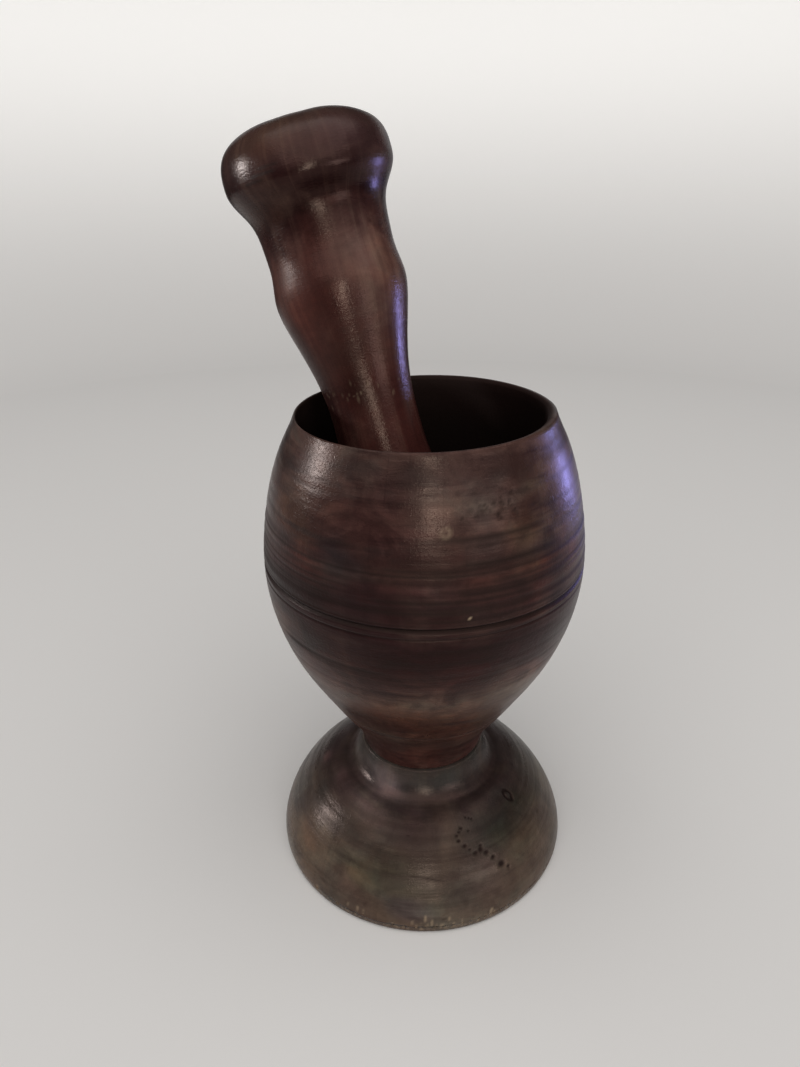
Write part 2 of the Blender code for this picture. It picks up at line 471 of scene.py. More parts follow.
def score_bowl(bowl, rng):
    """The turned grooves, lines and stained rings."""
    # The main groove, deeper at the front left than at the right; its dark fill is dirt and
    # painted shade
    bowl.groove(MAIN_GROOVE, half=1.15 * MM, depth=0.55 * MM, grime_and_shade=1.0)
    bowl.groove(MAIN_GROOVE, 1.0 * MM, 0.4 * MM, 1.0, centre=-115.0, reach=45.0, soft=40.0)
    # Its companions: one below, and four scored lines above on the left
    bowl.groove(COMPANION_GROOVE, half=0.55 * MM, depth=0.12 * MM, grime_and_shade=0.5)
    bowl.groove(123.5 * MM, 0.5 * MM, 0.14 * MM, 0.6, centre=-122.0, reach=30.0)
    bowl.groove(123.7 * MM, 0.5 * MM, 0.14 * MM, 0.6, centre=-58.0, reach=14.0)
    for height, depth in ((138.6, 0.13), (136.5, 0.2), (134.4, 0.18), (132.2, 0.22)):
        bowl.groove(height * MM, 0.5 * MM, depth * MM, 0.8, centre=-165.0, reach=38.0)
    # The fine line above the neck
    bowl.groove(NECK_LINE, half=0.55 * MM, depth=0.4 * MM, grime_and_shade=0.75)
    # Stained rings, each round part of the bowl: height and half width in millimetres,
    # grime, middle angle and reach
    for height, half, grime_and_shade, centre, reach in (
        (153.4, 1.3, 0.75, -66.0, 12.0),
        (151.4, 0.8, 0.6, -56.0, 14.0),
        (146.2, 1.3, 0.85, -60.0, 12.0),
        (144.6, 0.8, 0.7, -84.0, 14.0),
        (141.4, 0.9, 0.6, -94.0, 9.0),
        (140.6, 0.9, 0.7, -52.0, 10.0),
        (137.6, 1.2, 0.8, -58.0, 14.0),
        (135.6, 0.9, 0.75, -80.0, 18.0),
        (133.0, 0.8, 0.6, -70.0, 20.0),
        (129.6, 0.9, 0.7, -66.0, 20.0),
        (119.0, 1.2, 0.6, -66.0, 18.0),
        (114.5, 1.0, 0.5, -84.0, 14.0),
        (109.4, 1.1, 0.8, -124.0, 16.0),
        (107.6, 0.9, 0.6, -112.0, 14.0),
        (105.6, 0.9, 0.55, -102.0, 12.0),
    ):
        bowl.groove(height * MM, half * MM, 0.03 * MM, grime_and_shade, centre, reach, 14.0)
    dust_rings(bowl, rng, 98.0 * MM, 168.0 * MM, count=60, depth=0.07 * MM, grime_and_shade=0.45)
    dust_rings(bowl, rng, 126.0 * MM, 146.0 * MM, count=44, depth=0.09 * MM, grime_and_shade=0.75)


def stain_bowl(bowl, rng):
    """The varnish has gone cloudy, grey and olive in places, red or black in others; the two
    pale patches under the rim at the front right are partly a painted reflection of the front
    light.
    """
    edge = wavy(rng, bowl.angle, bowl.s, turns=14, length=14.0 * MM, waves=30)
    # Angle, height, half width in degrees, half height (millimetres) and tone
    for angle, height, wide, tall, tone in (
        # The first two are greyish patina and a painted reflection of the front light
        (-80.0, 165.5, 14.0, 6.5, (1.35, 1.50, 1.50)),
        (-74.0, 158.0, 9.0, 5.0, (1.20, 1.35, 1.30)),
        (-98.0, 152.0, 13.0, 6.0, (1.15, 1.05, 1.10)),
        (-30.0, 150.0, 16.0, 12.0, (1.45, 1.45, 1.35)),
        (-34.0, 128.0, 16.0, 7.0, (1.35, 1.15, 1.15)),
        (-34.0, 104.0, 20.0, 9.0, (1.45, 1.35, 1.30)),
        (-95.0, 170.0, 9.0, 4.0, (0.65, 0.60, 0.62)),
        (-55.0, 152.5, 8.0, 4.5, (1.45, 1.30, 1.05)),
        (-50.0, 142.0, 9.0, 4.0, (1.60, 1.25, 0.95)),
        (-66.0, 141.5, 10.0, 2.5, (1.25, 1.10, 1.00)),
        (-88.0, 139.0, 8.0, 4.0, (1.35, 1.45, 1.50)),
        (-117.0, 145.5, 9.0, 5.0, (0.65, 0.85, 1.00)),
        (-110.0, 134.0, 14.0, 5.0, (0.50, 0.45, 0.55)),
        (-88.0, 131.0, 12.0, 3.0, (0.75, 0.65, 0.70)),
        (-140.0, 153.0, 9.0, 6.0, (1.30, 1.30, 1.00)),
        (-133.0, 143.0, 8.0, 5.0, (1.35, 1.05, 0.95)),
        (-150.0, 135.0, 12.0, 4.0, (1.30, 1.00, 1.10)),
        (-128.0, 163.0, 9.0, 5.0, (1.25, 1.15, 1.05)),
        (-105.0, 163.0, 10.0, 7.0, (0.75, 0.65, 0.70)),
        (-40.0, 163.0, 9.0, 6.0, (1.15, 1.20, 1.10)),
        (-140.0, 130.0, 22.0, 6.5, (0.35, 0.28, 0.35)),
        (-130.0, 116.0, 18.0, 7.0, (0.60, 0.45, 0.45)),
        (-152.0, 112.0, 10.0, 7.0, (1.60, 1.40, 1.20)),
        (-88.0, 170.0, 24.0, 5.0, (0.80, 0.80, 0.82)),
        (-92.0, 148.0, 16.0, 5.0, (0.72, 0.70, 0.72)),
        (-116.0, 111.0, 8.0, 4.0, (1.35, 1.25, 1.10)),
        (-80.0, 116.0, 30.0, 8.0, (0.60, 0.30, 0.40)),
        (-48.0, 116.0, 12.0, 6.0, (1.05, 0.95, 1.20)),
        (-64.0, 96.0, 26.0, 7.0, (1.25, 1.30, 1.25)),
        (-130.0, 98.0, 22.0, 7.0, (1.15, 1.05, 1.00)),
        (-98.0, 88.0, 10.0, 6.0, (1.25, 1.20, 1.10)),
        (-92.0, 78.0, 20.0, 4.0, (0.80, 0.65, 0.65)),
        (-120.0, 80.0, 16.0, 5.0, (0.70, 0.65, 0.70)),
        (20.0, 150.0, 30.0, 14.0, (1.25, 1.20, 1.05)),
        (95.0, 140.0, 34.0, 12.0, (0.75, 0.70, 0.80)),
        (160.0, 156.0, 26.0, 10.0, (1.20, 1.20, 1.15)),
        (60.0, 108.0, 40.0, 9.0, (0.80, 0.60, 0.70)),
    ):
        bowl.stain(angle, height * MM, wide, tall * MM, tone, edge)


def flaw_bowl(bowl, rng):
    """A little burr ring, a pitted patch and two pale specks."""
    burr = bowl.distance(BURR_ANGLE, BURR_HEIGHT)
    ring = np.exp(-(((burr - 1.2 * MM) / (0.6 * MM)) ** 2))
    bowl.wear = np.maximum(bowl.wear, 0.28 * ring)
    bowl.spot(BURR_ANGLE, BURR_HEIGHT, 0.7 * MM, 0.1 * MM, grime_and_shade=0.4)
    for _ in range(44):
        bowl.spot(
            rng.normal(-65.0, 6.0),
            rng.normal(160.5, 1.9) * MM,
            rng.uniform(0.45, 1.3) * MM,
            0.12 * MM,
            grime_and_shade=rng.uniform(0.25, 0.75),
            tall=0.8,
        )
    bowl.spot(-75.8, 130.4 * MM, 0.6 * MM, 0.05 * MM, wear=0.9)
    bowl.spot(38.0, 174.4 * MM, 0.8 * MM, 0.05 * MM, wear=1.0)


def make_bowl(material):
    outline, share = bowl_outline()
    angles = angles_round(1.36, [(FRONT, 62.0, 0.88)])
    bowl = Surface(outline, angles, share[:, None] * HOLLOW_SHIFT)
    marked_from = 46.5 * MM
    bowl.outer = (share == 0.0).astype(float)[:, None] * (bowl.z > marked_from)
    bowl.hollow += share[:, None]
    rng = np.random.default_rng(11)
    score_bowl(bowl, rng)
    stain_bowl(bowl, rng)
    flaw_bowl(bowl, rng)
    # The turning isn't quite true, and handling has softened it
    out_of_true = wavy(rng, bowl.angle, bowl.s, turns=5, length=60.0 * MM)
    ripple = wavy(rng, bowl.angle, bowl.s, turns=9, length=3.2 * MM)
    bowl.relief += 0.05 * MM * out_of_true
    bowl.relief += 0.012 * MM * ripple * bowl.outer
    # A little smaller all over, so that nothing stands past the CAD outline
    bowl.relief -= 0.1 * MM
    piece = make_piece("bowl_turned", bowl, material)
    tilt_top(piece, RIM_TILT_FROM, RIM_HEIGHT, RIM_TILT, 0.0)
    return piece


# ---------------------------------------------------------------- the foot


def foot_outline():
    """From the middle of the underside out, up over the dome and cove, into the socket."""
    socket_radius = TENON_RADIUS + GAP
    socket_floor = JOINT_HEIGHT - TENON_LENGTH - GAP
    top = JOINT_HEIGHT - GAP
    widest = (FOOT_RADIUS, FOOT_WIDEST_HEIGHT)
    dome_top = (DOME_TOP_RADIUS, DOME_TOP_HEIGHT)
    edge = quarter_oval(widest, (UNDERSIDE_RADIUS, 0.0), 2.0, 7)[::-1]
    dome = quarter_oval(widest, dome_top, DOME_FULLNESS, 900)[1:]
    crease = (DOME_TOP_HEIGHT, 1.5 * MM, 0.25 * MM)
    dome = rings_along(dome, 0.62 * MM, [(24.0 * MM, 12.0 * MM, 0.42 * MM), crease])
    rounding = 0.5 * MM
    cove = quarter_oval((COVE_TOP_RADIUS, top - rounding), dome_top, 2.0, 300)[::-1]
    cove = rings_along(cove, 0.6 * MM, [crease])[1:]
    shoulder = arc((COVE_TOP_RADIUS - rounding, top - rounding), rounding, 10.0, 90.0, 4)
    socket = [(socket_radius, top), (socket_radius, socket_floor), (0.0, socket_floor)]
    underside = np.array([(0.0, 0.0), (30.0 * MM, 0.0), (52.0 * MM, 0.0)])
    return np.concatenate([underside, edge, dome, cove, shoulder, socket])


def scar_foot(foot, rng):
    """The crease under the cove, faint rings, the scar, the pits and a crack."""
    foot.groove(33.5 * MM, half=0.45 * MM, depth=0.08 * MM, grime_and_shade=0.25)
    dust_rings(foot, rng, 8.0 * MM, 43.0 * MM, count=46, depth=0.045 * MM, grime_and_shade=0.28)
    # The oval scar with its dark heart
    scar = foot.distance(SCAR_ANGLE, SCAR_HEIGHT, 1.4)
    ring = np.exp(-(((scar - 1.5 * MM) / (0.65 * MM)) ** 4))
    foot.relief -= 0.25 * MM * ring
    foot.grime_and_shade = np.maximum(foot.grime_and_shade, ring)
    foot.spot(-30.4, 29.6 * MM, 1.0 * MM, 0.2 * MM, grime_and_shade=1.0, tall=1.6)
    # A crescent of worm-like pits: angle, height and radius in millimetres
    crescent = (
        (-60.5, 31.0, 0.45),
        (-61.8, 31.5, 0.4),
        (-63.5, 31.8, 0.4),
        (-68.4, 30.0, 0.8),
        (-69.9, 29.4, 0.7),
        (-64.7, 29.1, 0.6),
        (-71.5, 28.8, 0.7),
        (-71.2, 27.7, 0.9),
        (-68.8, 26.5, 1.0),
        (-66.8, 25.2, 0.6),
        (-64.6, 23.9, 1.0),
        (-61.3, 25.1, 0.9),
        (-61.9, 24.3, 1.2),
        (-59.6, 23.0, 1.1),
        (-57.3, 21.2, 1.0),
        (-54.6, 18.2, 1.7),
        (-51.8, 16.6, 0.9),
    )
    for angle, height, radius in crescent:
        foot.spot(angle, height * MM, 1.25 * radius * MM, 0.3 * MM, grime_and_shade=1.0, tall=0.8)
    for _ in range(16):
        foot.spot(
            rng.uniform(-150.0, 150.0),
            rng.uniform(6.0, 30.0) * MM,
            rng.uniform(0.4, 0.8) * MM,
            0.1 * MM,
            grime_and_shade=rng.uniform(0.4, 0.9),
        )
    # A hairline crack low on the front
    crack = np.interp(foot.angle, (-97.0, -88.0, -84.0, -80.0), (20.3, 19.9, 19.2, 18.6))
    across = np.clip(1.0 - np.abs(foot.z - crack * MM) / (0.4 * MM), 0.0, 1.0)
    across = across * window(foot.angle, -88.0, 6.5, 2.5) * foot.outer
    foot.relief -= 0.08 * MM * across
    foot.grime_and_shade = np.maximum(foot.grime_and_shade, 0.8 * across)


def chip_foot(foot, rng):
    """Chips knocked out of the bottom edge, bare wood showing."""
    for _ in range(420):
        foot.spot(
            rng.uniform(-180.0, 180.0),
            1.4 * MM + abs(rng.normal(0.0, 1.8)) * MM,
            rng.uniform(0.3, 0.6) * MM,
            rng.uniform(0.04, 0.16) * MM,
            wear=rng.uniform(0.1, 0.55),
            tall=rng.uniform(0.8, 3.5),
        )


def stain_foot(foot, rng):
    """Cloudy old varnish: olive, grey and purple-brown, with a painted reflection of the front
    light low on the front and a painted highlight of the left light on the cove.
    """
    edge = wavy(rng, foot.angle, foot.s, turns=12, length=14.0 * MM, waves=30)
    # Angle, height, half width in degrees, half height (millimetres) and tone
    for angle, height, wide, tall, tone in (
        (-96.0, 14.0, 14.0, 6.0, (0.95, 1.06, 1.02)),
        # Greyish patina and a painted reflection of the front light, low on the front
        (-82.0, 7.0, 11.0, 4.5, (1.30, 1.42, 1.42)),
        (-106.0, 22.0, 11.0, 4.0, (1.15, 1.18, 1.05)),
        (-118.0, 11.0, 12.0, 6.0, (0.95, 0.88, 0.92)),
        (-94.0, 9.0, 7.0, 4.0, (0.85, 0.80, 1.00)),
        (-70.0, 12.0, 14.0, 6.0, (1.05, 1.05, 1.10)),
        (-60.0, 27.0, 14.0, 5.0, (0.95, 1.02, 1.05)),
        (-40.0, 30.0, 14.0, 5.0, (0.78, 0.86, 0.87)),
        (-38.0, 20.0, 12.0, 6.0, (1.15, 1.15, 1.05)),
        (-134.0, 20.0, 16.0, 7.0, (1.40, 1.35, 1.25)),
        (-150.0, 12.0, 14.0, 7.0, (1.20, 1.05, 0.95)),
        (-128.0, 33.0, 24.0, 5.0, (1.70, 1.70, 1.70)),
        (-90.0, 29.5, 30.0, 2.2, (0.80, 0.80, 0.85)),
        (-92.0, 24.0, 20.0, 5.0, (0.78, 0.80, 0.80)),
        (-70.0, 39.5, 26.0, 3.5, (0.85, 1.05, 1.05)),
        # A painted highlight of the left light on the cove
        (-128.0, 39.0, 18.0, 4.5, (2.60, 2.30, 2.40)),
        (30.0, 18.0, 40.0, 8.0, (1.10, 1.15, 1.00)),
        (120.0, 22.0, 40.0, 8.0, (0.90, 0.90, 1.00)),
    ):
        foot.stain(angle, height * MM, wide, tall * MM, tone, edge)


def make_foot(material):
    outline = foot_outline()
    angles = angles_round(1.5, [(-62.0, 18.0, 0.42), (-31.0, 5.0, 0.4), (FRONT, 62.0, 0.8)])
    foot = Surface(outline, angles)
    order = np.arange(len(outline))[:, None]
    turned_face = (order > 3) & (order < len(outline) - 4)
    foot.outer = turned_face.astype(float)
    rng = np.random.default_rng(23)
    scar_foot(foot, rng)
    chip_foot(foot, rng)
    stain_foot(foot, rng)
    out_of_true = wavy(rng, foot.angle, foot.s, turns=5, length=50.0 * MM)
    foot.relief += 0.06 * MM * out_of_true * foot.outer
    foot.relief -= 0.12 * MM * foot.outer
    return make_piece("foot_turned", foot, material)


# ---------------------------------------------------------------- the pestle


def pestle_outline():
    """From the tip up to the middle of the knob's top."""
    body = stations(PESTLE_STATIONS)
    end = quarter_oval(body[0], (0.0, 0.0), END_FULLNESS, 500)[::-1]
    top = quarter_oval(body[-1], (0.0, PESTLE_LENGTH), KNOB_FULLNESS, 500)
    outline = np.concatenate([end, smooth_curve(body, 60)[1:-1], top])
    return rings_along(outline, 0.85 * MM, [(RUBBED_HEIGHT, 4.0 * MM, 0.4 * MM)])


def rub_pestle(pestle, rng):
    """Marks where it rubs on the rim, and creases pressed into the knob's side."""
    for _ in range(46):
        pestle.spot(
            rng.uniform(60.0, 250.0),
            RUBBED_HEIGHT + rng.normal(0.0, 2.6) * MM,
            rng.uniform(0.3, 0.7) * MM,
            0.04 * MM,
            wear=rng.uniform(0.03, 0.22),
            tall=rng.uniform(0.4, 3.0),
        )
    for height, centre, reach in ((178.2, 113.0, 7.0), (179.6, 118.0, 5.0), (176.6, 105.0, 5.0)):
        pestle.groove(height * MM, 0.6 * MM, 0.08 * MM, 0.7, centre, reach, soft=5.0)


def stain_pestle(pestle, rng):
    """Worn satin and tan on one side of the grip, darker and redder between, with painted shade
    under the knob and a painted reflection of the soft right light on the other side.
    """
    edge = wavy(rng, pestle.angle, pestle.s, turns=8, length=40.0 * MM, waves=30)
    # Angle, height, half width in degrees, half height (millimetres), tone and dullness
    for angle, height, wide, tall, tone, dull in (
        (88.0, 141.0, 20.0, 15.0, (1.20, 1.05, 0.95), 0.22),
        # Painted shade under the knob, on its left
        (100.0, 165.0, 26.0, 6.0, (0.55, 0.42, 0.42), 0.0),
        (98.0, 132.0, 12.0, 10.0, (1.20, 0.95, 0.90), 0.10),
        (80.0, 116.0, 34.0, 20.0, (0.60, 0.50, 0.52), 0.20),
        (128.0, 112.0, 18.0, 14.0, (0.65, 0.60, 0.60), 0.10),
        (130.0, 140.0, 12.0, 26.0, (0.75, 0.60, 0.60), 0.0),
        # Painted reflection of the soft light on the right of the grip, these three
        (168.0, 150.0, 16.0, 12.0, (1.25, 1.35, 1.40), 0.06),
        (176.0, 132.0, 16.0, 20.0, (1.40, 1.55, 1.50), 0.04),
        (195.0, 140.0, 14.0, 18.0, (1.60, 1.70, 1.45), 0.0),
        (150.0, 104.0, 40.0, 8.0, (0.80, 0.65, 0.65), 0.0),
        (110.0, 186.0, 24.0, 5.0, (1.25, 1.30, 1.15), 0.0),
        (165.0, 184.0, 20.0, 5.0, (1.15, 1.20, 1.30), 0.06),
        (140.0, 190.0, 30.0, 4.0, (1.10, 1.10, 1.00), 0.05),
        (-40.0, 140.0, 40.0, 20.0, (1.15, 1.15, 1.05), 0.05),
    ):
        pestle.stain(angle, height * MM, wide, tall * MM, tone, edge, dull)


def make_pestle(material):
    pestle = Surface(pestle_outline(), angles_round(1.5, [(145.0, 50.0, 1.0)]))
    rng = np.random.default_rng(37)
    rub_pestle(pestle, rng)
    stain_pestle(pestle, rng)
    dust_rings(pestle, rng, 96.0 * MM, 180.0 * MM, count=20, depth=0.03 * MM, grime_and_shade=0.12)
    # Long shallow flats left by scraping along the grain, and a grip worn out of true
    flats = wavy(rng, pestle.angle, pestle.s, turns=11, length=150.0 * MM, waves=26)
    out_of_true = wavy(rng, pestle.angle, pestle.s, turns=5, length=40.0 * MM)
    pestle.relief += 0.1 * MM * flats
    pestle.relief += 0.05 * MM * out_of_true
    # Both fade out towards the middle of each end
    pestle.relief *= np.clip(pestle.r / (16.0 * MM), 0.0, 1.0) ** 2
    pestle.relief -= 0.14 * MM
    pestle.relief *= np.clip(pestle.r / (6.0 * MM), 0.0, 1.0)
    piece = make_piece("pestle_turned", pestle, material)
    tilt_top(piece, KNOB_TILT_FROM, KNOB_TILT_TO, KNOB_TILT, KNOB_TILT_HEADING)
    lean = Matrix.Rotation(PESTLE_HEADING, 4, "Z") @ Matrix.Rotation(PESTLE_LEAN, 4, "Y")
    piece.data.transform(Matrix.Translation(PESTLE_TIP) @ lean)
    return piece


# ---------------------------------------------------------------- wood


class Graph:
    """A material's node tree, with a short call for each kind of node."""

    def __init__(self, name):
        self.material = bpy.data.materials.new(name)
        self.material.use_nodes = True
        self.tree = self.material.node_tree
        self.shader = self.tree.nodes["Principled BSDF"]

    def plug(self, socket, value):
        if isinstance(value, bpy.types.NodeSocket):
            self.tree.links.new(value, socket)
        elif value is not None:
            socket.default_value = value

    def layer(self, name):
        node = self.tree.nodes.new("ShaderNodeAttribute")
        node.attribute_name = name
        return node.outputs["Vector" if name in ("turned", "tint") else "Fac"]

    def math(self, operation, a, b=None, c=None):
        node = self.tree.nodes.new("ShaderNodeMath")
        node.operation = operation
        for socket, value in zip(node.inputs, (a, b, c)):
            self.plug(socket, value)
        return node.outputs[0]

    def combine(self, x, y, z):
        node = self.tree.nodes.new("ShaderNodeCombineXYZ")
        for socket, value in zip(node.inputs, (x, y, z)):
            self.plug(socket, value)
        return node.outputs[0]

    def scaled(self, vector, scale, turn=(0.0, 0.0, 0.0)):
        node = self.tree.nodes.new("ShaderNodeMapping")
        self.plug(node.inputs["Vector"], vector)
        node.inputs["Rotation"].default_value = turn
        node.inputs["Scale"].default_value = scale
        return node.outputs[0]

    def noise(self, vector, detail=3.0, roughness=0.55, distortion=0.0):
        node = self.tree.nodes.new("ShaderNodeTexNoise")
        self.plug(node.inputs["Vector"], vector)
        node.inputs["Scale"].default_value = 1.0
        node.inputs["Detail"].default_value = detail
        node.inputs["Roughness"].default_value = roughness
        node.inputs["Distortion"].default_value = distortion
        return node.outputs["Fac"]

    def fade(self, value, low, high, to_low=0.0, to_high=1.0):
        node = self.tree.nodes.new("ShaderNodeMapRange")
        node.interpolation_type = "SMOOTHSTEP"
        for socket, given in zip(node.inputs, (value, low, high, to_low, to_high)):
            self.plug(socket, given)
        return node.outputs[0]

    def mix(self, share, a, b, blend="MIX"):
        node = self.tree.nodes.new("ShaderNodeMix")
        node.data_type = "RGBA"
        node.blend_type = blend
        self.plug(node.inputs["Factor"], share)
        for socket, value in zip(node.inputs[6:8], (a, b)):
            self.plug(socket, value if not isinstance(value, tuple) else (*value, 1.0))
        return node.outputs[2]

    def ramp(self, value, stops):
        node = self.tree.nodes.new("ShaderNodeValToRGB")
        self.plug(node.inputs["Fac"], value)
        ramp = node.color_ramp
        ramp.interpolation = "EASE"
        for place, _ in stops[1:-1]:
            ramp.elements.new(place)
        for element, (place, colour) in zip(ramp.elements, stops):
            element.position = place
            element.color = (*colour, 1.0)
        return node.outputs["Color"]


@dataclass
class Wood:
    """What sets one piece's old, dark, varnished wood apart.

    Tones are the colours up a piece that is `length` millimetres long, as (height in
    millimetres, colour). Slope tells the rings how the outline runs outwards. Streaks
    and fibres are how strong the dark rings round the piece and the grain along it are,
    clouds how blotchy it is, and light_rings how strong the light rings are. Gloss is
    the roughness below and above about four fifths of the height.
    """

    name: str
    length: float
    tones: list
    slope: float
    streaks: float
    fibres: float
    clouds: float
    light_rings: float
    dark: tuple
    light: tuple
    gloss: tuple


# Dirt, and painted shade in the main groove
DIRT_AND_SHADE = (0.004, 0.002, 0.002)
BARE_WOOD = (0.30, 0.21, 0.14)
# Painted shade in the hollow: near black, darkest deep down and least near the rim: (share of
# the height, colour)
HOLLOW_SHADE_TONES = [
    (0.40, (0.001, 0.001, 0.001)),
    (0.88, (0.002, 0.001, 0.001)),
    (0.97, (0.005, 0.002, 0.002)),
]
BLOTCH_DARK = (0.62, 0.57, 0.60)
BLOTCH_LIGHT = (1.30, 1.28, 1.25)
REDDER = (1.10, 0.96, 0.94)
GREYER = (0.94, 1.07, 1.08)
DULLEST = 0.85
VARNISH_IOR = 1.5
VARNISH_SHINE = 0.20
VARNISH_TINT = (1.0, 0.62, 0.52, 1.0)
TOOTH_DEPTH = 0.07 * MM


def wood_fields(g, wood):
    """Random fields over the piece, and the height as a share of its length."""
    turned = g.layer("turned")
    split = g.tree.nodes.new("ShaderNodeSeparateXYZ")
    g.plug(split.inputs[0], turned)
    x, y, z = split.outputs
    radius = g.math("SQRT", g.math("ADD", g.math("MULTIPLY", x, x), g.math("MULTIPLY", y, y)))
    radius = g.math("MAXIMUM", radius, 0.5 * MM)
    east = g.math("DIVIDE", x, radius)
    north = g.math("DIVIDE", y, radius)
    up = g.math("MULTIPLY_ADD", radius, wood.slope, z)

    def rings(round_scale, up_scale, seed):
        """Places for noise that runs round the piece, whatever its radius."""
        return g.combine(
            g.math("MULTIPLY_ADD", east, round_scale, seed),
            g.math("MULTIPLY", north, round_scale),
            g.math("MULTIPLY", up, up_scale),
        )

    def lumps(scale, turn=(0.0, 0.0, 0.0)):
        return g.scaled(turned, scale, turn)

    field = {
        "height": g.math("DIVIDE", z, wood.length * MM),
        "broad": g.noise(rings(1.0, 95.0, 3.0), 4.0, 0.6, 0.3),
        "streak": g.noise(rings(1.3, 330.0, 7.0), 5.0, 0.68, 0.2),
        "fine": g.noise(rings(3.0, 1500.0, 1.0), 3.0, 0.6),
        "fibre": g.noise(rings(7.0, 7.0, 5.0), 5.0, 0.6, 0.4),
        "hair": g.noise(rings(55.0, 26.0, 9.0), 4.0, 0.6),
        "cloud": g.noise(lumps((34.0, 34.0, 34.0)), 4.0, 0.55, 0.6),
        "mottle": g.noise(lumps((190.0, 190.0, 190.0)), 5.0, 0.65),
        "blotch": g.noise(lumps((65.0, 65.0, 105.0), (0.0, 0.3, 0.6)), 4.0, 0.6, 0.8),
        "warmth": g.noise(lumps((55.0, 55.0, 80.0), (0.4, 0.2, 0.0)), 3.0, 0.6, 0.5),
        "scratch_a": g.noise(lumps((1500.0, 70.0, 1500.0), (0.5, 0.9, 0.35)), 2.0),
        "scratch_b": g.noise(lumps((70.0, 1300.0, 1300.0), (0.2, 0.6, 1.1)), 2.0),
    }
    speckled = g.fade(field["mottle"], 0.30, 0.55, 0.35, 1.0)
    field["bare"] = g.math("MULTIPLY", g.layer("wear"), speckled)
    return field


def wood_colour(g, wood, field):
    """Tones up the piece, under rings, grain, blotches, stains, dirt with painted shade in the
    main groove, bare patches, and painted shade in the hollow.
    """
    height = field["height"]
    for name, reach in (("broad", 0.08), ("blotch", 0.10)):
        height = g.math("MULTIPLY_ADD", g.math("SUBTRACT", field[name], 0.5), reach, height)
    colour = g.ramp(height, [(level / wood.length, tone) for level, tone in wood.tones])
    patchy = g.fade(field["cloud"], 0.40, 0.60, 0.2 * wood.streaks, 1.2 * wood.streaks)
    for name, low, high, strength, tone in (
        ("streak", 0.48, 0.64, patchy, wood.dark),
        ("broad", 0.52, 0.72, wood.light_rings, wood.light),
        ("fibre", 0.50, 0.66, wood.fibres, wood.dark),
        ("fibre", 0.50, 0.34, 0.6 * wood.fibres, wood.light),
        ("cloud", 0.50, 0.70, 0.35, wood.light),
        ("mottle", 0.35, 0.70, 0.30, wood.dark),
        ("hair", 0.55, 0.75, 0.25, wood.dark),
    ):
        share = g.math("MULTIPLY", g.fade(field[name], low, high), strength)
        colour = g.mix(share, colour, tone)
    for name, low, high, tone in (
        ("blotch", 0.46, 0.62, BLOTCH_DARK),
        ("blotch", 0.50, 0.36, BLOTCH_LIGHT),
        ("warmth", 0.42, 0.62, REDDER),
        ("warmth", 0.52, 0.34, GREYER),
    ):
        share = g.fade(field[name], low, high, 0.0, wood.clouds)
        colour = g.mix(share, colour, tone, "MULTIPLY")
    colour = g.mix(1.0, colour, g.layer("tint"), "MULTIPLY")
    # Dirt, with painted shade in the main groove
    colour = g.mix(g.layer("grime_and_shade"), colour, DIRT_AND_SHADE)
    colour = g.mix(field["bare"], colour, BARE_WOOD)
    # Painted shade: the hollow is blended towards these near-black tones, darker further down
    hollow_shade = g.ramp(field["height"], HOLLOW_SHADE_TONES)
    return g.mix(g.fade(g.layer("hollow"), 0.25, 0.7), colour, hollow_shade)


def wood_roughness(g, wood, field):
    """Uneven varnish, duller where it is dirty, bare or inside the hollow."""
    rough = g.fade(field["height"], 0.78, 0.88, *wood.gloss)
    for name, share in (("cloud", 0.30), ("mottle", 0.16), ("streak", 0.14)):
        rough = g.math("MULTIPLY_ADD", g.math("SUBTRACT", field[name], 0.5), share, rough)
    for layer, share in (
        (g.layer("grime_and_shade"), 0.30),
        (field["bare"], 0.25),
        (g.layer("dull"), 1.0),
        (g.fade(g.layer("hollow"), 0.2, 0.7), 0.45),
    ):
        rough = g.math("MULTIPLY_ADD", layer, share, rough)
    return g.math("MINIMUM", rough, DULLEST)


def wood_tooth(g, field):
    """The smallest relief: turner's lines, grain, dimples and scratches."""
    tooth = g.math("MULTIPLY", field["fine"], 0.5)
    for value, share in (
        (field["hair"], 0.35),
        (field["mottle"], 0.8),
        (g.fade(field["scratch_a"], 0.45, 0.75), 0.28),
        (g.fade(field["scratch_b"], 0.45, 0.75), 0.22),
    ):
        tooth = g.math("MULTIPLY_ADD", value, share, tooth)
    bump = g.tree.nodes.new("ShaderNodeBump")
    bump.inputs["Strength"].default_value = 1.0
    bump.inputs["Distance"].default_value = TOOTH_DEPTH
    g.plug(bump.inputs["Height"], tooth)
    return bump.outputs[0]


def old_wood(wood):
    """The material of one piece of the wood."""
    g = Graph(wood.name)
    field = wood_fields(g, wood)
    shader = g.shader.inputs
    g.plug(shader["Base Color"], wood_colour(g, wood, field))
    g.plug(shader["Roughness"], wood_roughness(g, wood, field))
    g.plug(shader["Normal"], wood_tooth(g, field))
    shader["IOR"].default_value = VARNISH_IOR
    shader["Specular IOR Level"].default_value = VARNISH_SHINE
    shader["Specular Tint"].default_value = VARNISH_TINT
    return g.material


